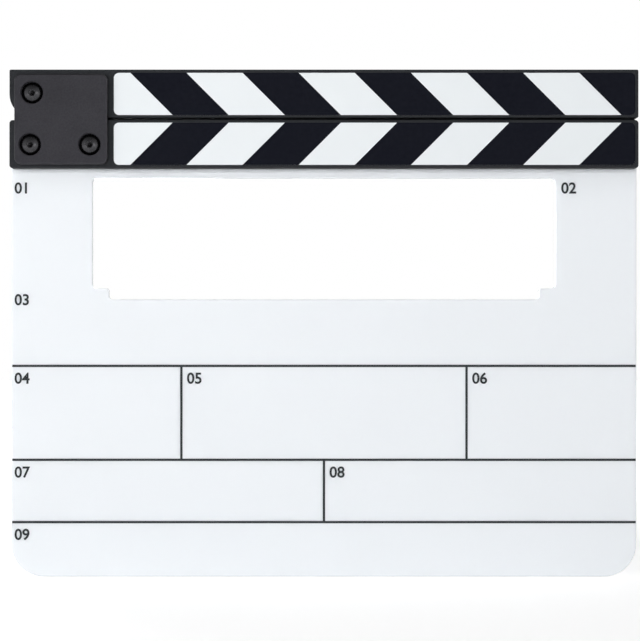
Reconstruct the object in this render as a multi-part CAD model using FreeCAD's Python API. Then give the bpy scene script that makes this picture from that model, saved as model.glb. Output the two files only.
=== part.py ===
import FreeCAD, Part
import math
import os

# Clapperboard: an acrylic slate with a display window hangs from a lower stick, and a striped
# upper stick swings on a bolted hinge at the left end.
# Millimetres. +X is right, +Y is back, +Z is up. The origin is the middle of the slate's bottom
# edge, halfway through its thickness.

# Slate board
BOARD_WIDTH = 285.0
BOARD_THICKNESS = 4.0
BOARD_FACE_HEIGHT = 185.8          # bottom edge to the underside of the lower stick
BOARD_CORNER_RADIUS = 15.0
BOARD_EDGE_BREAK = 0.4

# Display window in the slate, with a shallow lip along its bottom
WINDOW_WIDTH = 211.0
WINDOW_HEIGHT = 50.1
WINDOW_HEADROOM = 4.3              # strip left between the window and the lower stick
WINDOW_CORNER_RADIUS = 2.0
LIP_WIDTH = 196.0
LIP_DEPTH = 5.0
LIP_CORNER_RADIUS = 1.5
LIP_STEP_RADIUS = 1.0

# Sticks
STICK_HEIGHT = 21.8
STICK_PROUD = 8.0                  # stick's front face ahead of the board's front face
STICK_GAP = 1.1                    # between the closed sticks, ahead of the land
LAND_WIDTH = 4.0                   # strip at the back of the lower stick, where the sticks meet
LAND_CLEARANCE = 0.1               # between the land and the closed upper stick
STICK_BACK_LIP = 4.6               # stick left above the rebate that takes the board
STICK_EDGE_RADIUS = 0.35
LOWER_CORNER_RADIUS = 1.5
UPPER_CORNER_RADIUS = 0.7
BOARD_SEAT_CLEARANCE = 0.2         # above the board in the rebate

# Striped labels, each in a shallow pocket
LABEL_GAP = 2.7                    # from the hinge cover
LABEL_END_MARGIN = 1.5             # at the stick's free end
LABEL_OUTER_MARGIN = 1.5           # at the sticks' outer edges
LABEL_INNER_MARGIN = 1.2           # at the edges that meet
LABEL_CORNER_RADIUS = 2.3
LABEL_THICKNESS = 0.5
LABEL_POCKET_DEPTH = 0.6
LABEL_CLEARANCE = 0.1

# Hinge plates
PLATE_WIDTH = 42.0
PLATE_END_MARGIN = 2.6             # from the sticks' left end
PLATE_BOTTOM_MARGIN = 1.6          # above the lower stick's underside
PLATE_TOP_MARGIN = 2.2             # below the upper stick's top
PLATE_CORNER_RADIUS = 3.0
PLATE_EDGE_RADIUS = 0.8
COVER_THICKNESS = 4.0
BACKPLATE_THICKNESS = 3.0
COUNTERBORE_FLOOR = 1.8            # cover left under a screw head
COUNTERBORE_CLEARANCE = 0.4        # around a screw head

# Pivot
PIVOT_INSET = 10.6                 # from the upper stick's left end
PIVOT_LIFT = 0.1                   # above the upper stick's centre line
SLEEVE_DIAMETER = 8.0
RUNNING_CLEARANCE = 0.05           # bush on sleeve, and bush flange to plate
SIDE_CLEARANCE = 0.3               # upper stick to each hinge plate
BUSH_WALL = 1.0
BUSH_GAP = 1.0                     # between the ends of the two bushes
BUSH_FLANGE_WIDTH = 2.0            # past the barrel
BUSH_FLANGE_THICKNESS = 1.0
PRESS_ALLOWANCE = 0.02             # left between pressed-in pieces and their seats

# Hinge screws and nuts
HINGE_SCREW_DIAMETER = 5.0
HINGE_HEAD_DIAMETER = 9.5
HINGE_HEAD_HEIGHT = 2.75
HINGE_SOCKET_WIDTH = 3.0
HINGE_SOCKET_DEPTH = 1.6
HINGE_SCREW_TAIL = 1.0             # past the nut
HINGE_SCREW_LEFT_MARGIN = 7.1      # left screw from the plate's side
HINGE_SCREW_RIGHT_MARGIN = 8.0     # right screw from the plate's side
HINGE_SCREW_DROP = 0.4             # below the lower stick's centre line
SCREW_HOLE_CLEARANCE = 0.2         # around a screw in a plain hole
THREAD_CLEARANCE = 0.02            # around a screw in its thread
NUT_WIDTH = 8.0                    # across the flats
NUT_HEIGHT = 4.7
NUT_CHAMFER = 0.6
NUT_WASHER_DIAMETER = 10.0
NUT_WASHER_THICKNESS = 1.0
SPRING_WASHER_DIAMETER = 10.0
SPRING_WASHER_THICKNESS = 0.6
SPRING_WASHER_DISH = 0.4
LOCKNUT_COLLAR_HEIGHT = 1.6
LOCKNUT_COLLAR_WALL = 0.5
LOCKNUT_RING_WALL = 0.8
LOCKNUT_RING_HEIGHT = 1.2

# Screws that hold the board, their washers and threaded inserts
BOARD_SCREW_COUNT = 4
BOARD_SCREW_DIAMETER = 4.0
BOARD_HEAD_DIAMETER = 7.6
BOARD_HEAD_HEIGHT = 2.2
BOARD_SOCKET_WIDTH = 2.5
BOARD_SOCKET_DEPTH = 1.3
BOARD_SCREW_SHORT = 1.0            # left of the insert past the screw's point
BOARD_SCREW_END_MARGIN = 18.0      # last screw from the free end
BOARD_SCREW_PLATE_MARGIN = 33.0    # first screw from the hinge plates
BOARD_WASHER_DIAMETER = 9.0
BOARD_WASHER_THICKNESS = 0.8
INSERT_DIAMETER = 6.0
INSERT_FLOOR = 1.0                 # stick left between an insert's hole and the label's pocket
INSERT_GROOVE_DEPTH = 0.3
INSERT_GROOVE_WIDTH = 1.2
INSERT_HOLE_SPARE = 0.4            # hole deeper than the insert

# Shared screw details
HEAD_LAND_SHARE = 0.16             # straight rim of a button head, of its height
DRILL_POINT_ANGLE = 118            # degrees, at the bottom of a socket
SCREW_POINT_CHAMFER = 0.5

# Magnets, let in flush with the facing edges of the sticks
MAGNET_COUNT = 2
MAGNET_DIAMETER = 5.0
MAGNET_LENGTH = 3.0
MAGNET_END_MARGIN = 14.0           # last magnet from the free end
MAGNET_PITCH = 24.0

CUT_OVERRUN = 1.0                  # how far cutting tools run past a face
MATCH_TOLERANCE = 0.001            # for finding an edge by its place

# Places worked out from the sizes above
HEX_SIDES = 6
FULL_TURN = 360                    # degrees
HALF_TURN = 180
LEFT_END = -BOARD_WIDTH / 2
RIGHT_END = BOARD_WIDTH / 2
BOARD_FRONT = -BOARD_THICKNESS / 2
BOARD_BACK = BOARD_THICKNESS / 2
STICK_FRONT = BOARD_FRONT - STICK_PROUD
STICK_BACK = BOARD_BACK
LOWER_BOTTOM = BOARD_FACE_HEIGHT
LOWER_TOP = LOWER_BOTTOM + STICK_HEIGHT
UPPER_BOTTOM = LOWER_TOP + STICK_GAP
UPPER_TOP = UPPER_BOTTOM + STICK_HEIGHT
UPPER_FRONT = STICK_FRONT + SIDE_CLEARANCE
UPPER_BACK = STICK_BACK - SIDE_CLEARANCE
BOARD_TOP = LOWER_TOP - STICK_BACK_LIP - BOARD_SEAT_CLEARANCE
WINDOW_TOP = LOWER_BOTTOM - WINDOW_HEADROOM
PLATE_LEFT = LEFT_END + PLATE_END_MARGIN
PLATE_RIGHT = PLATE_LEFT + PLATE_WIDTH
LABEL_LEFT = PLATE_RIGHT + LABEL_GAP
LABEL_RIGHT = RIGHT_END - LABEL_END_MARGIN
LOWER_LABEL_SPAN = (LOWER_BOTTOM + LABEL_OUTER_MARGIN, LOWER_TOP - LABEL_INNER_MARGIN)
UPPER_LABEL_SPAN = (UPPER_BOTTOM + LABEL_INNER_MARGIN, UPPER_TOP - LABEL_OUTER_MARGIN)
LAND_LEFT = PLATE_LEFT + PLATE_WIDTH / 2
LAND_TOP = UPPER_BOTTOM - LAND_CLEARANCE
PLATE_BOTTOM = LOWER_BOTTOM + PLATE_BOTTOM_MARGIN
PLATE_TOP = UPPER_TOP - PLATE_TOP_MARGIN
COVER_FRONT = STICK_FRONT - COVER_THICKNESS
BACKPLATE_BACK = STICK_BACK + BACKPLATE_THICKNESS
HEAD_SEAT = STICK_FRONT - COUNTERBORE_FLOOR
COUNTERBORE_RADIUS = HINGE_HEAD_DIAMETER / 2 + COUNTERBORE_CLEARANCE
PIVOT_RISE = STICK_HEIGHT / 2 + PIVOT_LIFT
PIVOT = (LEFT_END + PIVOT_INSET, UPPER_BOTTOM + PIVOT_RISE)
HINGE_SCREW_Z = LOWER_BOTTOM + STICK_HEIGHT / 2 - HINGE_SCREW_DROP
HINGE_SPOTS = [
    (PLATE_LEFT + HINGE_SCREW_LEFT_MARGIN, HINGE_SCREW_Z),
    (PLATE_RIGHT - HINGE_SCREW_RIGHT_MARGIN, HINGE_SCREW_Z),
]
HINGE_HOLE_RADIUS = HINGE_SCREW_DIAMETER / 2 + SCREW_HOLE_CLEARANCE
NUT_BORE_RADIUS = HINGE_SCREW_DIAMETER / 2 + THREAD_CLEARANCE
BUSH_INNER_RADIUS = SLEEVE_DIAMETER / 2 + RUNNING_CLEARANCE
BUSH_OUTER_RADIUS = BUSH_INNER_RADIUS + BUSH_WALL
BUSH_FLANGE_RADIUS = BUSH_OUTER_RADIUS + BUSH_FLANGE_WIDTH
BUSH_LENGTH = (STICK_BACK - STICK_FRONT - BUSH_GAP) / 2 - RUNNING_CLEARANCE
SPRING_STACK = SPRING_WASHER_THICKNESS + SPRING_WASHER_DISH
LOCKNUT_STACK = SPRING_STACK + NUT_HEIGHT + LOCKNUT_COLLAR_HEIGHT
NUT_STACK = NUT_WASHER_THICKNESS + NUT_HEIGHT
BOARD_SCREW_Z = (LOWER_BOTTOM + BOARD_TOP) / 2
BOARD_SCREW_LEFT = PLATE_RIGHT + BOARD_SCREW_PLATE_MARGIN
BOARD_SCREW_PITCH = (RIGHT_END - BOARD_SCREW_END_MARGIN - BOARD_SCREW_LEFT) / (BOARD_SCREW_COUNT - 1)
BOARD_SCREW_SPOTS = [
    (BOARD_SCREW_LEFT + step * BOARD_SCREW_PITCH, BOARD_SCREW_Z) for step in range(BOARD_SCREW_COUNT)
]
BOARD_HOLE_RADIUS = BOARD_SCREW_DIAMETER / 2 + SCREW_HOLE_CLEARANCE
INSERT_LENGTH = STICK_PROUD - LABEL_POCKET_DEPTH - INSERT_FLOOR - INSERT_HOLE_SPARE
MAGNET_Y = (STICK_FRONT + LABEL_POCKET_DEPTH + BOARD_FRONT) / 2
MAGNET_X = [RIGHT_END - MAGNET_END_MARGIN - step * MAGNET_PITCH for step in range(MAGNET_COUNT)]


def at(x, y, z):
    return FreeCAD.Vector(x, y, z)


def box(x_span, y_span, z_span):
    """A block between pairs of coordinates."""
    corner = at(x_span[0], y_span[0], z_span[0])
    return Part.makeBox(x_span[1] - x_span[0], y_span[1] - y_span[0], z_span[1] - z_span[0], corner)


def rod(spot, radius, y_span):
    """A cylinder along Y at an (x, z) spot."""
    return Part.makeCylinder(radius, y_span[1] - y_span[0], at(spot[0], y_span[0], spot[1]), at(0, 1, 0))


def ring(spot, outer_radius, inner_radius, y_span):
    """A flat ring along Y."""
    overrun_span = (y_span[0] - CUT_OVERRUN, y_span[1] + CUT_OVERRUN)
    return rod(spot, outer_radius, y_span).cut(rod(spot, inner_radius, overrun_span))


def slab(outline, y_span):
    """A prism along Y over an outline of (x, z) points."""
    points = [at(x, y_span[0], z) for x, z in outline]
    face = Part.Face(Part.makePolygon(points + points[:1]))
    return face.extrude(at(0, y_span[1] - y_span[0], 0))


def hexagon(spot, width, y_span):
    """A six-sided prism along Y, with a flat face up."""
    reach = width / 2 / math.cos(math.pi / HEX_SIDES)
    turns = [2 * math.pi * side / HEX_SIDES for side in range(HEX_SIDES)]
    outline = [(spot[0] + reach * math.cos(turn), spot[1] + reach * math.sin(turn)) for turn in turns]
    return slab(outline, y_span)


def rectangle(x_span, z_span):
    """Corners from the lower left, round by the lower right."""
    left, right = x_span
    bottom, top = z_span
    return [(left, bottom), (right, bottom), (right, top), (left, top)]


def round_corners(shape, spots, radius):
    """Round the edges along Y that stand at the given (x, z) spots."""
    chosen = []
    for edge in shape.Edges:
        ends = [(vertex.X, vertex.Z) for vertex in edge.Vertexes]
        if any(all(math.dist(end, spot) < MATCH_TOLERANCE for end in ends) for spot in spots):
            chosen.append(edge)
    return shape.makeFillet(radius, chosen)


def rims(shape, levels):
    """All edges that lie in the given y levels."""
    chosen = []
    for edge in shape.Edges:
        middle = edge.valueAt((edge.FirstParameter + edge.LastParameter) / 2)
        depths = [vertex.Y for vertex in edge.Vertexes] + [middle.y]
        if any(max(abs(depth - level) for depth in depths) < MATCH_TOLERANCE for level in levels):
            chosen.append(edge)
    return chosen


def break_rims(shape, size, *levels):
    return shape.makeChamfer(size, rims(shape, levels))


def round_rims(shape, radius, *levels):
    return shape.makeFillet(radius, rims(shape, levels))


def turned(edges):
    """A solid turned about the Y axis from a closed profile in the XY plane."""
    return Part.Face(Part.Wire(edges)).revolve(at(0, 0, 0), at(0, 1, 0), FULL_TURN)


def profile_lines(points):
    """Straight edges through (radius, y) points."""
    corners = [at(radius, y, 0) for radius, y in points]
    return [Part.makeLine(start, end) for start, end in zip(corners, corners[1:])]


def placed(shape, spot, y):
    """A copy moved from the origin to an (x, z) spot and a depth."""
    copy = shape.copy()
    copy.translate(at(spot[0], y, spot[1]))
    return copy


def group(shape, spots, y):
    """Separate copies of one fastener as one node."""
    return Part.makeCompound([placed(shape, spot, y) for spot in spots])


def cut_all(shape, tools):
    for tool in tools:
        shape = shape.cut(tool)
    return shape


def button_screw(shank_diameter, head_diameter, head_height, socket_width, socket_depth, length):
    """A button-head screw with a hexagon socket. The head seats at y = 0 and the shank runs to +Y."""
    head_radius = head_diameter / 2
    land = -head_height * HEAD_LAND_SHARE
    shank = shank_diameter / 2
    # The dome is an arc from the land to the crown, about a point on the axis.
    rise = head_height + land
    dome_radius = (head_radius ** 2 + rise ** 2) / (2 * rise)
    half_turn = math.asin(head_radius / dome_radius) / 2
    half_drop = dome_radius * (1 - math.cos(half_turn))
    dome_middle = at(dome_radius * math.sin(half_turn), half_drop - head_height, 0)
    dome = Part.Arc(at(head_radius, land, 0), dome_middle, at(0, -head_height, 0)).toShape()
    axis = profile_lines([(0, -head_height), (0, length)])
    point = [(0, length), (shank - SCREW_POINT_CHAMFER, length), (shank, length - SCREW_POINT_CHAMFER)]
    body = profile_lines(point + [(shank, 0), (head_radius, 0), (head_radius, land)])
    floor = socket_depth - head_height
    socket = hexagon((0, 0), socket_width, (-head_height - CUT_OVERRUN, floor))
    point_depth = socket_width / 2 / math.tan(math.radians(DRILL_POINT_ANGLE / 2))
    drill_point = Part.makeCone(socket_width / 2, 0, point_depth, at(0, floor, 0), at(0, 1, 0))
    return cut_all(turned([dome] + axis + body), [socket, drill_point])


def hex_nut(width, height, bore_radius):
    """A plain nut with both ends chamfered, from y = 0 to +Y."""
    reach = width / 2 / math.cos(math.pi / HEX_SIDES)
    edge = reach - NUT_CHAMFER
    rise = NUT_CHAMFER / 2
    blank = [(0, 0), (edge, 0), (reach, rise), (reach, height - rise), (edge, height), (0, height), (0, 0)]
    body = hexagon((0, 0), width, (0, height)).common(turned(profile_lines(blank)))
    return body.cut(rod((0, 0), bore_radius, (-CUT_OVERRUN, height + CUT_OVERRUN)))


def slate_board():
    """The acrylic sheet with its window, its lip and the holes along its hidden strip."""
    depth = (BOARD_FRONT, BOARD_BACK)
    through = (BOARD_FRONT - CUT_OVERRUN, BOARD_BACK + CUT_OVERRUN)
    outline = rectangle((LEFT_END, RIGHT_END), (0, BOARD_TOP))
    sheet = round_corners(slab(outline, depth), outline[:2], BOARD_CORNER_RADIUS)

    sides = (WINDOW_WIDTH / 2, LIP_WIDTH / 2)
    levels = (WINDOW_TOP, WINDOW_TOP - WINDOW_HEIGHT, WINDOW_TOP - WINDOW_HEIGHT - LIP_DEPTH)
    right_side = [(sides[0], levels[0]), (sides[0], levels[1]), (sides[1], levels[1]), (sides[1], levels[2])]
    left_side = [(-x, z) for x, z in reversed(right_side)]
    opening = slab(right_side + left_side, through)
    opening = round_corners(opening, right_side[:2] + left_side[2:], WINDOW_CORNER_RADIUS)
    opening = round_corners(opening, right_side[2:3] + left_side[1:2], LIP_STEP_RADIUS)
    opening = round_corners(opening, right_side[3:] + left_side[:1], LIP_CORNER_RADIUS)

    sheet = break_rims(sheet.cut(opening), BOARD_EDGE_BREAK, *depth)
    hinge_holes = [rod(spot, HINGE_HOLE_RADIUS, through) for spot in HINGE_SPOTS]
    screw_holes = [rod(spot, BOARD_HOLE_RADIUS, through) for spot in BOARD_SCREW_SPOTS]
    return cut_all(sheet, hinge_holes + screw_holes)


def label_outline(z_span, spare):
    """A label's rectangle between two heights, grown by a clearance."""
    return rectangle((LABEL_LEFT - spare, LABEL_RIGHT + spare), (z_span[0] - spare, z_span[1] + spare))


def label_pocket(z_span, front):
    outline = label_outline(z_span, LABEL_CLEARANCE)
    tool = slab(outline, (front - CUT_OVERRUN, front + LABEL_POCKET_DEPTH))
    return round_corners(tool, outline, LABEL_CORNER_RADIUS + LABEL_CLEARANCE)


def stripe_label(z_span, front):
    """A thin printed inlay that lies on the floor of its pocket."""
    outline = label_outline(z_span, 0)
    floor = front + LABEL_POCKET_DEPTH
    return round_corners(slab(outline, (floor - LABEL_THICKNESS, floor)), outline, LABEL_CORNER_RADIUS)


def magnet(x, face, inward, radius, overrun):
    """A disc along Z, let into a stick from its face, with inward +1 for up and -1 for down."""
    start = at(x, MAGNET_Y, face - inward * overrun)
    return Part.makeCylinder(radius, MAGNET_LENGTH + overrun, start, at(0, 0, inward))


def magnets(face, inward):
    return Part.makeCompound([magnet(x, face, inward, MAGNET_DIAMETER / 2, 0) for x in MAGNET_X])


def magnet_pockets(face, inward):
    radius = MAGNET_DIAMETER / 2 + PRESS_ALLOWANCE
    return [magnet(x, face, inward, radius, CUT_OVERRUN) for x in MAGNET_X]


def clap_land():
    """The raised strip that the upper stick lands on, clear of its rounded heel."""
    depth = (STICK_BACK - LAND_WIDTH, STICK_BACK - STICK_EDGE_RADIUS)
    outline = rectangle((LAND_LEFT, RIGHT_END), (LOWER_TOP - 2 * LOWER_CORNER_RADIUS, LAND_TOP))
    strip = round_corners(slab(outline, depth), outline[2:3], LOWER_CORNER_RADIUS)
    return round_rims(strip, STICK_EDGE_RADIUS, *depth)


def lower_stick():
    """The fixed bar, with a land along its top and a rebate at the back for the board."""
    outline = rectangle((LEFT_END, RIGHT_END), (LOWER_BOTTOM, LOWER_TOP))
    bar = round_corners(slab(outline, (STICK_FRONT, STICK_BACK)), outline, LOWER_CORNER_RADIUS)
    bar = round_rims(bar, STICK_EDGE_RADIUS, STICK_FRONT, STICK_BACK)
    bar = bar.fuse(clap_land()).removeSplitter()
    rebate = box((LEFT_END - CUT_OVERRUN, RIGHT_END + CUT_OVERRUN), (BOARD_FRONT, STICK_BACK + CUT_OVERRUN),
                 (LOWER_BOTTOM - CUT_OVERRUN, BOARD_TOP + BOARD_SEAT_CLEARANCE))
    through = (STICK_FRONT - CUT_OVERRUN, STICK_BACK + CUT_OVERRUN)
    hinge_holes = [rod(spot, HINGE_HOLE_RADIUS, through) for spot in HINGE_SPOTS]
    insert_span = (BOARD_FRONT - INSERT_LENGTH - INSERT_HOLE_SPARE, BOARD_FRONT + CUT_OVERRUN)
    insert_radius = INSERT_DIAMETER / 2 + PRESS_ALLOWANCE
    insert_holes = [rod(spot, insert_radius, insert_span) for spot in BOARD_SCREW_SPOTS]
    tools = [rebate, label_pocket(LOWER_LABEL_SPAN, STICK_FRONT)]
    return cut_all(bar, tools + hinge_holes + insert_holes + magnet_pockets(LOWER_TOP, -1))


def upper_stick():
    """The swinging bar. Its heel is rounded about the pivot so that it clears the lower stick."""
    depth = (UPPER_FRONT, UPPER_BACK)
    outline = rectangle((LEFT_END, RIGHT_END), (UPPER_BOTTOM, UPPER_TOP))
    bar = round_corners(slab(outline, depth), outline[1:], UPPER_CORNER_RADIUS)
    bar = round_corners(bar, outline[:1], min(PIVOT_INSET, PIVOT_RISE))
    bar = round_rims(bar, STICK_EDGE_RADIUS, *depth)
    through = (UPPER_FRONT - CUT_OVERRUN, UPPER_BACK + CUT_OVERRUN)
    bore = rod(PIVOT, BUSH_OUTER_RADIUS + PRESS_ALLOWANCE, through)
    flange_radius = BUSH_FLANGE_RADIUS + PRESS_ALLOWANCE
    inset = RUNNING_CLEARANCE + BUSH_FLANGE_THICKNESS
    front_seat = rod(PIVOT, flange_radius, (UPPER_FRONT - CUT_OVERRUN, STICK_FRONT + inset))
    rear_seat = rod(PIVOT, flange_radius, (STICK_BACK - inset, UPPER_BACK + CUT_OVERRUN))
    tools = [bore, front_seat, rear_seat, label_pocket(UPPER_LABEL_SPAN, UPPER_FRONT)]
    return cut_all(bar, tools + magnet_pockets(UPPER_BOTTOM, 1))


def hinge_plate(y_span, outer_face):
    """A rounded square plate with plain holes for the pivot and the two hinge screws."""
    outline = rectangle((PLATE_LEFT, PLATE_RIGHT), (PLATE_BOTTOM, PLATE_TOP))
    plate = round_corners(slab(outline, y_span), outline, PLATE_CORNER_RADIUS)
    plate = round_rims(plate, PLATE_EDGE_RADIUS, outer_face)
    through = (y_span[0] - CUT_OVERRUN, y_span[1] + CUT_OVERRUN)
    return cut_all(plate, [rod(spot, HINGE_HOLE_RADIUS, through) for spot in [PIVOT] + HINGE_SPOTS])


def hinge_cover():
    plate = hinge_plate((COVER_FRONT, STICK_FRONT), COVER_FRONT)
    bore_span = (COVER_FRONT - CUT_OVERRUN, HEAD_SEAT)
    return cut_all(plate, [rod(spot, COUNTERBORE_RADIUS, bore_span) for spot in [PIVOT] + HINGE_SPOTS])


def hinge_backplate():
    return hinge_plate((STICK_BACK, BACKPLATE_BACK), BACKPLATE_BACK)


def hinge_screw(stack_behind):
    """A hinge screw long enough for the plates, the stick and what is stacked behind the back plate."""
    length = BACKPLATE_BACK - HEAD_SEAT + stack_behind + HINGE_SCREW_TAIL
    return button_screw(HINGE_SCREW_DIAMETER, HINGE_HEAD_DIAMETER, HINGE_HEAD_HEIGHT,
                        HINGE_SOCKET_WIDTH, HINGE_SOCKET_DEPTH, length)


def pivot_sleeve():
    return ring(PIVOT, SLEEVE_DIAMETER / 2, HINGE_HOLE_RADIUS, (STICK_FRONT, STICK_BACK))


def flanged_bush():
    """A plain bearing whose flange starts at y = 0, with its barrel towards +Y."""
    flange = ring((0, 0), BUSH_FLANGE_RADIUS, BUSH_INNER_RADIUS, (0, BUSH_FLANGE_THICKNESS))
    barrel = ring((0, 0), BUSH_OUTER_RADIUS, BUSH_INNER_RADIUS, (0, BUSH_LENGTH))
    return flange.fuse(barrel).removeSplitter()


def front_bush():
    return placed(flanged_bush(), PIVOT, STICK_FRONT + RUNNING_CLEARANCE)


def rear_bush():
    bush = flanged_bush()
    bush.rotate(at(0, 0, 0), at(0, 0, 1), HALF_TURN)
    return placed(bush, PIVOT, STICK_BACK - RUNNING_CLEARANCE)


def spring_washer():
    """A dished washer, its rim on the back plate and its bore edge under the lock nut."""
    inner = HINGE_HOLE_RADIUS
    outer = SPRING_WASHER_DIAMETER / 2
    section = [(outer, 0), (outer, SPRING_WASHER_THICKNESS),
               (inner, SPRING_WASHER_THICKNESS + SPRING_WASHER_DISH), (inner, SPRING_WASHER_DISH), (outer, 0)]
    return turned(profile_lines(section))


def locknut():
    """A nut with a round collar that holds a nylon ring."""
    inner = NUT_BORE_RADIUS + LOCKNUT_RING_WALL + PRESS_ALLOWANCE
    outer = inner + LOCKNUT_COLLAR_WALL
    collar = ring((0, 0), outer, inner, (NUT_HEIGHT, NUT_HEIGHT + LOCKNUT_COLLAR_HEIGHT))
    return hex_nut(NUT_WIDTH, NUT_HEIGHT, NUT_BORE_RADIUS).fuse(collar).removeSplitter()


def locknut_ring():
    outer = NUT_BORE_RADIUS + LOCKNUT_RING_WALL
    return ring((0, 0), outer, NUT_BORE_RADIUS, (NUT_HEIGHT, NUT_HEIGHT + LOCKNUT_RING_HEIGHT))


def board_screw():
    """A button-head screw for the board, its head at the back and its shank to the front."""
    length = BOARD_WASHER_THICKNESS + BOARD_THICKNESS + INSERT_LENGTH - BOARD_SCREW_SHORT
    screw = button_screw(BOARD_SCREW_DIAMETER, BOARD_HEAD_DIAMETER, BOARD_HEAD_HEIGHT,
                         BOARD_SOCKET_WIDTH, BOARD_SOCKET_DEPTH, length)
    screw.rotate(at(0, 0, 0), at(0, 0, 1), HALF_TURN)
    return screw


def stick_insert():
    """A brass threaded insert with a groove round its middle, open face at y = 0 and body to -Y."""
    bore = BOARD_SCREW_DIAMETER / 2 + THREAD_CLEARANCE
    sleeve = ring((0, 0), INSERT_DIAMETER / 2, bore, (-INSERT_LENGTH, 0))
    groove_span = (-(INSERT_LENGTH + INSERT_GROOVE_WIDTH) / 2, -(INSERT_LENGTH - INSERT_GROOVE_WIDTH) / 2)
    groove = ring((0, 0), INSERT_DIAMETER, INSERT_DIAMETER / 2 - INSERT_GROOVE_DEPTH, groove_span)
    return sleeve.cut(groove)


def nut_washer():
    return ring((0, 0), NUT_WASHER_DIAMETER / 2, HINGE_HOLE_RADIUS, (0, NUT_WASHER_THICKNESS))


def board_washer():
    return ring((0, 0), BOARD_WASHER_DIAMETER / 2, BOARD_HOLE_RADIUS, (0, BOARD_WASHER_THICKNESS))


def hinge_nut():
    return hex_nut(NUT_WIDTH, NUT_HEIGHT, NUT_BORE_RADIUS)


NODES = {
    "slate_board": slate_board(),
    "lower_stick": lower_stick(),
    "lower_stripe_label": stripe_label(LOWER_LABEL_SPAN, STICK_FRONT),
    "lower_magnets": magnets(LOWER_TOP, -1),
    "upper_stick": upper_stick(),
    "upper_stripe_label": stripe_label(UPPER_LABEL_SPAN, UPPER_FRONT),
    "upper_magnets": magnets(UPPER_BOTTOM, 1),
    "front_bush": front_bush(),
    "rear_bush": rear_bush(),
    "hinge_cover": hinge_cover(),
    "hinge_backplate": hinge_backplate(),
    "pivot_sleeve": pivot_sleeve(),
    "pivot_screw": placed(hinge_screw(LOCKNUT_STACK), PIVOT, HEAD_SEAT),
    "pivot_spring_washer": placed(spring_washer(), PIVOT, BACKPLATE_BACK),
    "pivot_locknut": placed(locknut(), PIVOT, BACKPLATE_BACK + SPRING_STACK),
    "locknut_ring": placed(locknut_ring(), PIVOT, BACKPLATE_BACK + SPRING_STACK),
    "hinge_screws": group(hinge_screw(NUT_STACK), HINGE_SPOTS, HEAD_SEAT),
    "nut_washers": group(nut_washer(), HINGE_SPOTS, BACKPLATE_BACK),
    "hinge_nuts": group(hinge_nut(), HINGE_SPOTS, BACKPLATE_BACK + NUT_WASHER_THICKNESS),
    "stick_inserts": group(stick_insert(), BOARD_SCREW_SPOTS, BOARD_FRONT),
    "board_screw_washers": group(board_washer(), BOARD_SCREW_SPOTS, BOARD_BACK),
    "board_screws": group(board_screw(), BOARD_SCREW_SPOTS, BOARD_BACK + BOARD_WASHER_THICKNESS),
}

os.makedirs("parts", exist_ok=True)
for name, shape in NODES.items():
    shape.exportStep(f"parts/{name}.step")
    print(name, len(shape.Solids), "solids", round(shape.Volume, 1), "mm3, valid:", shape.isValid())
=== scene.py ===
from math import floor, pi

import bpy
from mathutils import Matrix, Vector


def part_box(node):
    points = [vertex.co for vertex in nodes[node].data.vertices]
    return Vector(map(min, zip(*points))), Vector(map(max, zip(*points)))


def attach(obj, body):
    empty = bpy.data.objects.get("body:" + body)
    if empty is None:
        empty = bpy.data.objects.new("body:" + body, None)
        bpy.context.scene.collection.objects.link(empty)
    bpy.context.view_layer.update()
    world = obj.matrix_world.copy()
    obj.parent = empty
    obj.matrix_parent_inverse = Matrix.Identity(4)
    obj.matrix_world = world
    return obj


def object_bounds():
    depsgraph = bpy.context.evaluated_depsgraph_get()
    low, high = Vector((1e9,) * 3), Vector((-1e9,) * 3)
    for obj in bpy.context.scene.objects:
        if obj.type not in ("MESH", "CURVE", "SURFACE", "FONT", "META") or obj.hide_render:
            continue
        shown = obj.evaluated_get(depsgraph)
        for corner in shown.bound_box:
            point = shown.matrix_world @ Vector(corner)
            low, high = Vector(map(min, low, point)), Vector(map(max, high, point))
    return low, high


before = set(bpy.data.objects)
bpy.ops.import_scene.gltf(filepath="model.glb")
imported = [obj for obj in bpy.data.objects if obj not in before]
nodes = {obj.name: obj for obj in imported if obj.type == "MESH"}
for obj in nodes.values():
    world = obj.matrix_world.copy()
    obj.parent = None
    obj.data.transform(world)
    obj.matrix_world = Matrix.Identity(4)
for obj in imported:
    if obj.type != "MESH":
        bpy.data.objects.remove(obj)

cad_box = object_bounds()


# Slate board: a 4 mm sheet of opal white acrylic, cut to its outline and to the window for a
# time-code display. Its faces are satin, so that marker wipes off them, and light scatters a
# few millimetres into the sheet. The cut edges are glossy, with fine lines across the sheet.
ACRYLIC_WHITE = (0.875, 0.906, 0.94)
ACRYLIC_WIPED = (0.874, 0.905, 0.9392)
SCATTER_DEPTH = 0.002
EDGE_POLISH = 0.35
CUT_LINE_DEPTH = 0.00002
ALONG_THE_WIPING = (0.04, 1.0, 1.0)
ACROSS_THE_SHEET = (1.0, 0.04, 1.0)
NOISE_LOW = 0.3
NOISE_HIGH = 0.7
FACE_STARTS = 0.6
FACE_FULL = 0.95


def new_finish(name, colour, roughness, metallic=0.0, specular=0.5):
    """A material whose uniform values stand on the shader's own sockets."""
    finish = bpy.data.materials.new(name)
    finish.use_nodes = True
    shader = finish.node_tree.nodes["Principled BSDF"]
    shader.inputs["Base Color"].default_value = (*colour, 1.0)
    shader.inputs["Roughness"].default_value = roughness
    shader.inputs["Metallic"].default_value = metallic
    shader.inputs["Specular IOR Level"].default_value = specular
    return finish, shader


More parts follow.
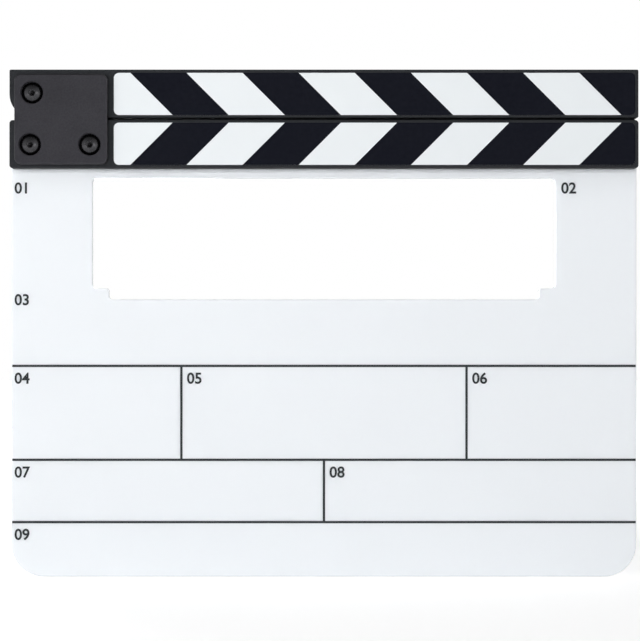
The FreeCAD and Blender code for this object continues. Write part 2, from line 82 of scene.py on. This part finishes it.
def noise_on(finish, per_metre, detail=3.0, stretch=(1.0, 1.0, 1.0)):
    """Noise on Object coordinates, with so many waves to the metre."""
    tree = finish.node_tree
    place = tree.nodes.new("ShaderNodeTexCoord")
    mapping = tree.nodes.new("ShaderNodeMapping")
    noise = tree.nodes.new("ShaderNodeTexNoise")
    mapping.inputs["Scale"].default_value = stretch
    noise.inputs["Scale"].default_value = per_metre
    noise.inputs["Detail"].default_value = detail
    tree.links.new(place.outputs["Object"], mapping.inputs["Vector"])
    tree.links.new(mapping.outputs["Vector"], noise.inputs["Vector"])
    return noise.outputs["Fac"]


def ranged(finish, field, low, high, start=NOISE_LOW, end=NOISE_HIGH):
    """A field's range from start to end, stretched to run from one value to another."""
    span = finish.node_tree.nodes.new("ShaderNodeMapRange")
    span.inputs["From Min"].default_value = start
    span.inputs["From Max"].default_value = end
    span.inputs["To Min"].default_value = low
    span.inputs["To Max"].default_value = high
    finish.node_tree.links.new(field, span.inputs["Value"])
    return span.outputs["Result"]


def tint(finish, shader, field, first, second):
    """Base colour that runs from one colour to another with a noise field."""
    ramp = finish.node_tree.nodes.new("ShaderNodeValToRGB")
    ramp.color_ramp.elements[0].position = NOISE_LOW
    ramp.color_ramp.elements[1].position = NOISE_HIGH
    ramp.color_ramp.elements[0].color = (*first, 1.0)
    ramp.color_ramp.elements[1].color = (*second, 1.0)
    finish.node_tree.links.new(field, ramp.inputs["Fac"])
    finish.node_tree.links.new(ramp.outputs["Color"], shader.inputs["Base Color"])


def relief(finish, shader, field, depth):
    """Bump of a depth in metres."""
    bump = finish.node_tree.nodes.new("ShaderNodeBump")
    bump.inputs["Distance"].default_value = depth
    finish.node_tree.links.new(field, bump.inputs["Height"])
    finish.node_tree.links.new(bump.outputs["Normal"], shader.inputs["Normal"])


def on_faces(finish):
    """1 on the front and the back of an upright sheet, and 0 on its edges."""
    tree = finish.node_tree
    place = tree.nodes.new("ShaderNodeTexCoord")
    parts = tree.nodes.new("ShaderNodeSeparateXYZ")
    size = tree.nodes.new("ShaderNodeMath")
    size.operation = "ABSOLUTE"
    tree.links.new(place.outputs["Normal"], parts.inputs["Vector"])
    tree.links.new(parts.outputs["Y"], size.inputs[0])
    return ranged(finish, size.outputs["Value"], 0.0, 1.0, FACE_STARTS, FACE_FULL)


def product(finish, field, factor):
    """Two fields multiplied."""
    times = finish.node_tree.nodes.new("ShaderNodeMath")
    times.operation = "MULTIPLY"
    finish.node_tree.links.new(field, times.inputs[0])
    finish.node_tree.links.new(factor, times.inputs[1])
    return times.outputs["Value"]


def dress(finish, *names):
    """Gives CAD nodes a finish."""
    for name in names:
        slots = nodes[name].data.materials
        slots.clear()
        slots.append(finish)


acrylic, shader = new_finish("opal_acrylic", ACRYLIC_WHITE, roughness=0.3)
shader.subsurface_method = "BURLEY"
shader.inputs["Subsurface Weight"].default_value = 1.0
shader.inputs["Subsurface Radius"].default_value = (1.0, 1.0, 1.0)
shader.inputs["Subsurface Scale"].default_value = SCATTER_DEPTH
wiping = noise_on(acrylic, per_metre=900.0, detail=6.0, stretch=ALONG_THE_WIPING)
tint(acrylic, shader, wiping, ACRYLIC_WIPED, ACRYLIC_WHITE)
face = on_faces(acrylic)
satin = ranged(acrylic, wiping, low=0.29, high=0.315)
polish = ranged(acrylic, face, low=EDGE_POLISH, high=1.0, start=0.0, end=1.0)
acrylic.node_tree.links.new(product(acrylic, satin, polish), shader.inputs["Roughness"])
cut_lines = noise_on(acrylic, per_metre=2500.0, detail=2.0, stretch=ACROSS_THE_SHEET)
edge = ranged(acrylic, face, low=1.0, high=0.0, start=0.0, end=1.0)
relief(acrylic, shader, product(acrylic, cut_lines, edge), CUT_LINE_DEPTH)
dress(acrylic, "slate_board")


# Field lines: the grid on the slate's face, screen printed in one pass of dark grey ink.
# Three lines run the full width, and short uprights divide the fields between them.
INK_GREY = (0.03, 0.034, 0.038)
INK_DENSE = (0.026, 0.03, 0.034)
INK_THIN = (0.04, 0.044, 0.048)
INK_FILM = 0.00004
INK_TOOTH = 0.00001
LINE_WIDTH = 0.00105
LINE_HEIGHTS = (0.0961, 0.0533, 0.0249)
EDGE_BREAK = 0.0004
# Each upright: its place, and which of the lines it hangs from and stands on.
UPRIGHTS = ((-0.065, 0, 1), (0.065, 0, 1), (0.0, 1, 2))
board_low, board_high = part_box("slate_board")


def flat_plate(name, low, high, front):
    """An upright plane between two corners, (x, z) each, in edit mode with all selected."""
    bpy.ops.object.select_all(action="DESELECT")
    middle = ((low[0] + high[0]) / 2, front, (low[1] + high[1]) / 2)
    bpy.ops.mesh.primitive_plane_add(size=1.0, location=middle, rotation=(pi / 2, 0.0, 0.0))
    plate = bpy.context.object
    plate.name = name
    plate.scale = (high[0] - low[0], high[1] - low[1], 1.0)
    bpy.ops.object.transform_apply(location=True, rotation=True, scale=True)
    bpy.ops.object.mode_set(mode="EDIT")
    return plate


def cut(point, normal):
    """Cuts the plate that is being edited along a line, right through."""
    bpy.ops.mesh.select_all(action="SELECT")
    bpy.ops.mesh.bisect(plane_co=point, plane_no=normal)


def keep_inked(plate, inked):
    """Deletes the faces whose middle isn't inked, and gives the rest the ink's thickness."""
    bpy.ops.mesh.select_mode(type="FACE")
    bpy.ops.mesh.select_all(action="DESELECT")
    bpy.ops.object.mode_set(mode="OBJECT")
    for face in plate.data.polygons:
        face.select = not inked(face.center)
    bpy.ops.object.mode_set(mode="EDIT")
    bpy.ops.mesh.delete(type="FACE")
    bpy.ops.mesh.select_all(action="SELECT")
    bpy.ops.mesh.extrude_region_move(TRANSFORM_OT_translate={"value": (0.0, -INK_FILM, 0.0)})
    bpy.ops.mesh.select_all(action="SELECT")
    bpy.ops.mesh.normals_make_consistent(inside=False)
    bpy.ops.object.mode_set(mode="OBJECT")


def on_a_line(centre):
    """True on a full-width line or on an upright between its two lines."""
    half = LINE_WIDTH / 2
    if any(abs(centre.z - height) < half for height in LINE_HEIGHTS):
        return True
    return any(
        abs(centre.x - x) < half and LINE_HEIGHTS[below] < centre.z < LINE_HEIGHTS[above]
        for x, above, below in UPRIGHTS
    )


field_lines = flat_plate(
    "field_lines",
    (board_low.x + EDGE_BREAK, LINE_HEIGHTS[-1] - LINE_WIDTH / 2),
    (board_high.x - EDGE_BREAK, LINE_HEIGHTS[0] + LINE_WIDTH / 2),
    board_low.y,
)
for side in (-LINE_WIDTH / 2, LINE_WIDTH / 2):
    for height in LINE_HEIGHTS:
        cut((0.0, board_low.y, height + side), (0.0, 0.0, 1.0))
    for x, above, below in UPRIGHTS:
        cut((x + side, board_low.y, 0.0), (1.0, 0.0, 0.0))
keep_inked(field_lines, on_a_line)

board_ink, shader = new_finish("board_ink", INK_GREY, roughness=0.5, specular=0.2)
tint(board_ink, shader, noise_on(board_ink, per_metre=900.0), INK_DENSE, INK_THIN)
relief(board_ink, shader, noise_on(board_ink, per_metre=4000.0), INK_TOOTH)
field_lines.data.materials.append(board_ink)
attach(field_lines, "slate")


# Field numbers: a plain number, 01 to 09, in the upper left corner of each field. They are screen
# printed on the slate's face in the same pass as the lines, and with the same ink.
NUMBER_HEIGHT = 0.0051
NUMBER_WEIGHT = 0.00014
CURVE_STEPS = 5
SEAM_REACH = 0.000002
CAP_SHARE = 0.729
NUMBER_DROP = 0.0029
NUMBER_INSET = 0.0025
MARGIN_INSET = 0.0014
HEAD_DROP = 0.0059
FLANK_X = 0.1081
MIDDLE_TOP = 0.1290

margin = board_low.x + MARGIN_INSET
past_uprights = [x + NUMBER_INSET for x, above, below in UPRIGHTS]
head_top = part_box("lower_stick")[0].z - HEAD_DROP
row_tops = [height - NUMBER_DROP for height in LINE_HEIGHTS]
number_places = (
    (margin, head_top),
    (FLANK_X, head_top),
    (margin, MIDDLE_TOP),
    (margin, row_tops[0]),
    (past_uprights[0], row_tops[0]),
    (past_uprights[1], row_tops[0]),
    (margin, row_tops[1]),
    (past_uprights[2], row_tops[1]),
    (margin, row_tops[2]),
)


def print_number(count, left, top):
    """A number in ink, as a mesh of the ink's thickness on the slate's face."""
    bpy.ops.object.select_all(action="DESELECT")
    bpy.ops.object.text_add()
    number = bpy.context.object
    number.data.body = f"{count:02d}"
    number.data.size = NUMBER_HEIGHT / CAP_SHARE
    number.data.extrude = INK_FILM / 2
    number.data.offset = NUMBER_WEIGHT
    number.data.resolution_u = CURVE_STEPS
    bpy.ops.object.convert(target="MESH")
    number = bpy.context.object
    number.rotation_euler = (pi / 2, 0.0, 0.0)
    number.location = (left, board_low.y - INK_FILM / 2, top - NUMBER_HEIGHT)
    bpy.ops.object.transform_apply(location=True, rotation=True, scale=True)
    bpy.ops.object.mode_set(mode="EDIT")
    bpy.ops.mesh.select_all(action="SELECT")
    bpy.ops.mesh.remove_doubles(threshold=SEAM_REACH)
    bpy.ops.mesh.normals_make_consistent(inside=False)
    bpy.ops.object.mode_set(mode="OBJECT")
    bpy.ops.object.shade_flat()
    return number


numbers = [print_number(count, *place) for count, place in enumerate(number_places, 1)]
bpy.ops.object.select_all(action="DESELECT")
for number in numbers:
    number.select_set(True)
bpy.context.view_layer.objects.active = numbers[0]
bpy.ops.object.join()
field_numbers = bpy.context.object
field_numbers.name = "field_numbers"
field_numbers.data.materials.clear()
field_numbers.data.materials.append(board_ink)
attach(field_numbers, "slate")


# Lower stick: a bar of fine-grained black plastic with a rebate at the back for the slate and a
# shallow pocket at the front for its label. The upper stick claps on the land along its back. Hands
# have polished its rounded rims a little, and their paler colour in patches is a painted highlight.
STICK_DARK = (0.0145, 0.016, 0.0185)
STICK_PALE = (0.0205, 0.0222, 0.0252)
STICK_RIM_POLISH_AND_HIGHLIGHT = (0.027, 0.029, 0.033)
POLISHED_SHARE = 0.7
GRAIN_DEPTH = 0.00003
ALONG_THE_BAR = (0.4, 1.0, 1.0)
RIM_FULL = 0.75
RIM_ENDS = 0.99


def rims(finish):
    """1 along rounded rims and corners, and 0 on flat faces that are square to the frame."""
    tree = finish.node_tree
    place = tree.nodes.new("ShaderNodeTexCoord")
    size = tree.nodes.new("ShaderNodeVectorMath")
    size.operation = "ABSOLUTE"
    parts = tree.nodes.new("ShaderNodeSeparateXYZ")
    tree.links.new(place.outputs["Normal"], size.inputs[0])
    tree.links.new(size.outputs["Vector"], parts.inputs["Vector"])
    largest = parts.outputs["X"]
    for axis in "YZ":
        larger = tree.nodes.new("ShaderNodeMath")
        larger.operation = "MAXIMUM"
        tree.links.new(largest, larger.inputs[0])
        tree.links.new(parts.outputs[axis], larger.inputs[1])
        largest = larger.outputs["Value"]
    return ranged(finish, largest, 1.0, 0.0, RIM_FULL, RIM_ENDS)


def wear_and_highlight(finish, shader, field, colour):
    """Lays a colour over the base colour where a field is 1: some wear, and a painted highlight along
    rims.
    """
    tree = finish.node_tree
    blend = tree.nodes.new("ShaderNodeMix")
    blend.data_type = "RGBA"
    base = shader.inputs["Base Color"]
    tree.links.new(base.links[0].from_socket, blend.inputs["A"])
    blend.inputs["B"].default_value = (*colour, 1.0)
    tree.links.new(field, blend.inputs["Factor"])
    tree.links.new(blend.outputs["Result"], base)


stick_black, shader = new_finish("stick_black", STICK_DARK, roughness=0.5, specular=0.17)
mottle = noise_on(stick_black, per_metre=700.0, detail=5.0)
tint(stick_black, shader, mottle, STICK_DARK, STICK_PALE)
# Paler rims in patches: a painted highlight on the rims, where hands also left a little polish.
stick_rim_noise = noise_on(stick_black, per_metre=60.0, detail=5.0)
stick_rim_patches = ranged(stick_black, stick_rim_noise, low=0.0, high=0.5, start=0.45, end=0.7)
rim_polish_and_highlight = product(stick_black, rims(stick_black), stick_rim_patches)
wear_and_highlight(stick_black, shader, rim_polish_and_highlight, STICK_RIM_POLISH_AND_HIGHLIGHT)
patches = noise_on(stick_black, per_metre=25.0, detail=4.0, stretch=ALONG_THE_BAR)
rough = ranged(stick_black, patches, low=0.42, high=0.58)
smooth = ranged(stick_black, rim_polish_and_highlight, low=1.0, high=POLISHED_SHARE, start=0.0, end=1.0)
stick_black.node_tree.links.new(product(stick_black, rough, smooth), shader.inputs["Roughness"])
relief(stick_black, shader, noise_on(stick_black, per_metre=2600.0, detail=2.0), GRAIN_DEPTH)
dress(stick_black, "lower_stick")


# Stripe labels: white satin film with rounded corners, laid into the sticks' pockets, printed with
# black stripes at 45 degrees that repeat every two inches. The lower label mirrors the upper one.
FILM_WHITE = (0.825, 0.86, 0.88)
FILM_SHADED = (0.812, 0.848, 0.869)
FILM_TOOTH = 0.00001
STRIPE_BLACK = (0.004, 0.0047, 0.009)
STRIPE_DENSE = (0.0032, 0.0038, 0.0078)
STRIPE_THIN = (0.0052, 0.006, 0.0105)
STRIPE_STEP = 0.02542
FIRST_STRIPE_INSET = 0.0075
LABEL_CORNER = 0.0023
CORNER_SEGMENTS = 8


def roughen(finish, shader, field, low, high):
    """Roughness that runs from one value to another with a noise field."""
    rough = ranged(finish, field, low, high)
    finish.node_tree.links.new(rough, shader.inputs["Roughness"])


film, shader = new_finish("label_film", FILM_WHITE, roughness=0.4, specular=0.4)
tint(film, shader, noise_on(film, per_metre=40.0, detail=4.0), FILM_SHADED, FILM_WHITE)
roughen(film, shader, noise_on(film, per_metre=300.0), low=0.36, high=0.48)
relief(film, shader, noise_on(film, per_metre=1500.0), FILM_TOOTH)
dress(film, "lower_stripe_label", "upper_stripe_label")

stripe_ink, shader = new_finish("stripe_ink", STRIPE_BLACK, roughness=0.45, specular=0.07)
tint(stripe_ink, shader, noise_on(stripe_ink, per_metre=500.0, detail=5.0), STRIPE_DENSE, STRIPE_THIN)
roughen(stripe_ink, shader, noise_on(stripe_ink, per_metre=30.0, detail=4.0), low=0.38, high=0.52)
relief(stripe_ink, shader, noise_on(stripe_ink, per_metre=1800.0), INK_TOOTH)


def print_stripes(name, label, lean, body):
    """The black stripes on a label. They lean right going down the label, or up it where lean is -1."""
    low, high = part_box(label)
    start = high.z if lean > 0 else low.z

    def stripe_at(place):
        return (place.x - low.x - FIRST_STRIPE_INSET - lean * (start - place.z)) / STRIPE_STEP

    stripes = flat_plate(name, (low.x, low.z), (high.x, high.z), low.y)
    bpy.ops.mesh.bevel(offset=LABEL_CORNER, segments=CORNER_SEGMENTS, affect="VERTICES")
    reach = (high.x - low.x + high.z - low.z) / STRIPE_STEP
    for count in range(-1, int(reach) + 1):
        edge = low.x + FIRST_STRIPE_INSET + count * STRIPE_STEP
        cut((edge, low.y, start), (1.0, 0.0, lean))
    keep_inked(stripes, lambda centre: floor(stripe_at(centre)) % 2 == 0)
    stripes.data.materials.append(stripe_ink)
    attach(stripes, body)


print_stripes("lower_stripes", "lower_stripe_label", -1, "slate")


# Upper stick: the same bar without the rebate, rounded about the pivot so that its heel clears the
# lower stick as it opens.
dress(stick_black, "upper_stick")
print_stripes("upper_stripes", "upper_stripe_label", 1, "clapper")


# Hinge plates: two plates of bead-blasted, dark anodised aluminium that hold the pivot at both
# ends. The front one is counterbored for the screw heads. The dye is a little thin on their rims,
# and their paler colour there is also a painted highlight on the chamfers.
PLATE_DARK = (0.046, 0.045, 0.052)
PLATE_PALE = (0.055, 0.054, 0.061)
PLATE_RIM_WEAR_AND_HIGHLIGHT = (0.1, 0.1, 0.106)
BLAST_DEPTH = 0.00004

anodised, shader = new_finish("plate_anodised", PLATE_DARK, roughness=0.5, metallic=1.0)
tint(anodised, shader, noise_on(anodised, per_metre=1200.0, detail=4.0), PLATE_DARK, PLATE_PALE)
# Paler rims in patches: thin dye and a painted chamfer highlight.
plate_rim_noise = noise_on(anodised, per_metre=90.0, detail=5.0)
plate_rim_patches = ranged(anodised, plate_rim_noise, low=0.1, high=0.7, start=0.4, end=0.7)
wear_and_highlight(anodised, shader, product(anodised, rims(anodised), plate_rim_patches), PLATE_RIM_WEAR_AND_HIGHLIGHT)
roughen(anodised, shader, noise_on(anodised, per_metre=70.0, detail=4.0), low=0.46, high=0.58)
relief(anodised, shader, noise_on(anodised, per_metre=2200.0, detail=2.0), BLAST_DEPTH)
dress(anodised, "hinge_cover", "hinge_backplate")


# Screws: button-head socket screws in black oxide, three at the hinge and four with washers that
# hold the slate in the lower stick's rebate from behind.
OXIDE_BLACK = (0.058, 0.058, 0.062)
OXIDE_DARK = (0.05, 0.05, 0.054)
OXIDE_PALE = (0.066, 0.065, 0.069)

black_oxide, shader = new_finish("screw_black", OXIDE_BLACK, roughness=0.26, metallic=1.0)
tint(black_oxide, shader, noise_on(black_oxide, per_metre=900.0, detail=4.0), OXIDE_DARK, OXIDE_PALE)
roughen(black_oxide, shader, noise_on(black_oxide, per_metre=1500.0, detail=4.0), low=0.22, high=0.3)
dress(black_oxide, "pivot_screw", "hinge_screws", "board_screws", "board_screw_washers")


# Nuts, washers and sleeve: zinc-plated steel with a faint blue and straw bloom from passivation.
# The nuts draw the hinge plates together from behind, and the sleeve between the plates takes the
# pivot's share of that, so that the upper stick stays free to swing.
ZINC_GREY = (0.55, 0.55, 0.56)
ZINC_BLUE = (0.5, 0.52, 0.56)
ZINC_STRAW = (0.6, 0.58, 0.53)

zinc, shader = new_finish("bright_steel", ZINC_GREY, roughness=0.3, metallic=1.0)
tint(zinc, shader, noise_on(zinc, per_metre=260.0), ZINC_BLUE, ZINC_STRAW)
roughen(zinc, shader, noise_on(zinc, per_metre=900.0, detail=4.0), low=0.22, high=0.38)
dress(zinc, "pivot_sleeve", "pivot_spring_washer", "pivot_locknut", "nut_washers", "hinge_nuts")


# Locking ring: a ring of natural nylon, crimped into the pivot's nut. It grips the screw's thread,
# so that the nut stays where it was set while the upper stick swings.
NYLON_NATURAL = (0.72, 0.73, 0.7)
NYLON_SHADED = (0.68, 0.69, 0.66)
NYLON_PALE = (0.76, 0.77, 0.74)

nylon, shader = new_finish("nylon", NYLON_NATURAL, roughness=0.45)
tint(nylon, shader, noise_on(nylon, per_metre=600.0), NYLON_SHADED, NYLON_PALE)
dress(nylon, "locknut_ring")


# Bushes: flanged plain bearings of dark polymer, pressed into the upper stick from both sides.
# They turn on the sleeve, and their flanges run between the stick and the hinge plates.
POLYMER_BROWN = (0.16, 0.15, 0.13)
POLYMER_DARK = (0.13, 0.12, 0.105)
POLYMER_PALE = (0.19, 0.18, 0.155)

polymer, shader = new_finish("bearing_polymer", POLYMER_BROWN, roughness=0.5)
tint(polymer, shader, noise_on(polymer, per_metre=1500.0, detail=4.0), POLYMER_DARK, POLYMER_PALE)
dress(polymer, "front_bush", "rear_bush")


# Magnets and inserts: discs with a black epoxy coat, pressed into the facing edges of the sticks,
# and grooved brass inserts that the slate's screws run into.
COAT_BLACK = (0.005, 0.005, 0.006)
COAT_DARK = (0.004, 0.004, 0.005)
COAT_PALE = (0.007, 0.007, 0.008)
BRASS_YELLOW = (0.68, 0.5, 0.22)
BRASS_DULL = (0.62, 0.44, 0.18)
BRASS_BRIGHT = (0.72, 0.54, 0.25)

magnet_coat, shader = new_finish("magnet_black", COAT_BLACK, roughness=0.45, specular=0.12)
tint(magnet_coat, shader, noise_on(magnet_coat, per_metre=900.0, detail=4.0), COAT_DARK, COAT_PALE)
roughen(magnet_coat, shader, noise_on(magnet_coat, per_metre=1200.0, detail=4.0), low=0.4, high=0.52)
dress(magnet_coat, "lower_magnets", "upper_magnets")

brass, shader = new_finish("brass", BRASS_YELLOW, roughness=0.3, metallic=1.0)
tint(brass, shader, noise_on(brass, per_metre=500.0, detail=4.0), BRASS_DULL, BRASS_BRIGHT)
roughen(brass, shader, noise_on(brass, per_metre=1200.0, detail=4.0), low=0.22, high=0.38)
dress(brass, "stick_inserts")


# Studio: a pale floor, a white surround that greys towards the ceiling, and soft lamps in front,
# above, at both ends and behind. Only the right and the rear lamp show in reflections, so that the
# blacks stay deep. The floor is lifted to white, less so near the part, where its shadow falls.
PURE_WHITE = (1.0, 1.0, 1.0, 1.0)
FLOOR_SIZE = 8.0
FLOOR_PALE = (0.8, 0.8, 0.8)
FLOOR_LIFT_NEAR = 0.59
FLOOR_LIFT_FAR = 0.95
FLOOR_NEAR = 0.25
FLOOR_FAR = 0.8
AMBIENT = 0.14
CEILING = 0.22
WHITE_UP_TO = 0.13
CEILING_FROM = 0.9
LAMP_AIM = Vector((0.0, 0.0, 0.13))
# Each lamp: its name, its place, the side of its square face, its watts, and if reflections show it.
LAMPS = (
    ("left_softbox", (-1.15, -1.3, 0.24), 0.85, 9.7, False),
    ("right_softbox", (1.0, -1.38, 0.25), 0.4, 1.5, True),
    ("front_softbox", (-0.45, -1.9, 0.22), 0.8, 20.9, False),
    ("top_softbox", (-0.6, -1.2, 1.1), 0.9, 3.9, False),
    ("left_edge_softbox", (-1.6, 0.15, 0.13), 0.3, 3.5, False),
    ("right_edge_softbox", (1.6, 0.15, 0.13), 0.3, 3.5, False),
    ("rear_softbox", (-0.5, 1.6, 0.3), 0.8, 19.5, True),
)

bpy.ops.object.select_all(action="DESELECT")
bpy.ops.mesh.primitive_plane_add(size=FLOOR_SIZE, location=(0.0, 0.0, cad_box[0].z))
studio_floor = bpy.context.object
studio_floor.name = "studio_floor"


def seen_directly(tree):
    """1 for rays that show the surround itself: straight on, mirrored or through something clear."""
    rays = tree.nodes.new("ShaderNodeLightPath")
    seen = rays.outputs["Is Camera Ray"]
    for name in ("Is Glossy Ray", "Is Transmission Ray"):
        either = tree.nodes.new("ShaderNodeMath")
        either.operation = "MAXIMUM"
        tree.links.new(seen, either.inputs[0])
        tree.links.new(rays.outputs[name], either.inputs[1])
        seen = either.outputs["Value"]
    return seen


floor_paint, shader = new_finish("floor_paint", FLOOR_PALE, roughness=0.8, specular=0.2)
shader.inputs["Emission Color"].default_value = PURE_WHITE
tree = floor_paint.node_tree
place = tree.nodes.new("ShaderNodeTexCoord")
reach = tree.nodes.new("ShaderNodeVectorMath")
reach.operation = "LENGTH"
tree.links.new(place.outputs["Object"], reach.inputs[0])
lift = ranged(
    floor_paint, reach.outputs["Value"], FLOOR_LIFT_NEAR, FLOOR_LIFT_FAR, FLOOR_NEAR, FLOOR_FAR
)
tree.links.new(product(floor_paint, lift, seen_directly(tree)), shader.inputs["Emission Strength"])
studio_floor.data.materials.append(floor_paint)

surround = bpy.data.worlds.new("white_surround")
surround.use_nodes = True
bpy.context.scene.world = surround
tree = surround.node_tree
ambient = tree.nodes["Background"]
ambient.inputs["Color"].default_value = PURE_WHITE
ambient.inputs["Strength"].default_value = AMBIENT
white = tree.nodes.new("ShaderNodeBackground")
white.inputs["Color"].default_value = PURE_WHITE
direction = tree.nodes.new("ShaderNodeTexCoord")
parts = tree.nodes.new("ShaderNodeSeparateXYZ")
tree.links.new(direction.outputs["Generated"], parts.inputs["Vector"])
greying = ranged(surround, parts.outputs["Z"], 1.0, CEILING, WHITE_UP_TO, CEILING_FROM)
tree.links.new(greying, white.inputs["Strength"])
mix = tree.nodes.new("ShaderNodeMixShader")
tree.links.new(seen_directly(tree), mix.inputs["Fac"])
tree.links.new(ambient.outputs["Background"], mix.inputs[1])
tree.links.new(white.outputs["Background"], mix.inputs[2])
tree.links.new(mix.outputs["Shader"], tree.nodes["World Output"].inputs["Surface"])

for name, place, size, watts, mirrored in LAMPS:
    bpy.ops.object.light_add(type="AREA", location=place)
    lamp = bpy.context.object
    lamp.name = name
    lamp.rotation_euler = (LAMP_AIM - lamp.location).to_track_quat("-Z", "Y").to_euler()
    lamp.data.size = size
    lamp.data.energy = watts
    lamp.visible_glossy = mirrored

bpy.context.scene.view_settings.view_transform = "Standard"


# Camera: square on to the slate, level with the middle of the whole part, and so far off that the
# sticks hardly show their sides, as in the photograph.
CAMERA_PLACE = (-0.0018, -1.229, 0.1168)
LENS_MM = 151.4
SENSOR_MM = 36.0

bpy.ops.object.camera_add(location=CAMERA_PLACE, rotation=(pi / 2, 0.0, 0.0))
camera = bpy.context.object
camera.data.lens = LENS_MM
camera.data.sensor_width = SENSOR_MM
camera.data.sensor_fit = "HORIZONTAL"
bpy.context.scene.camera = camera
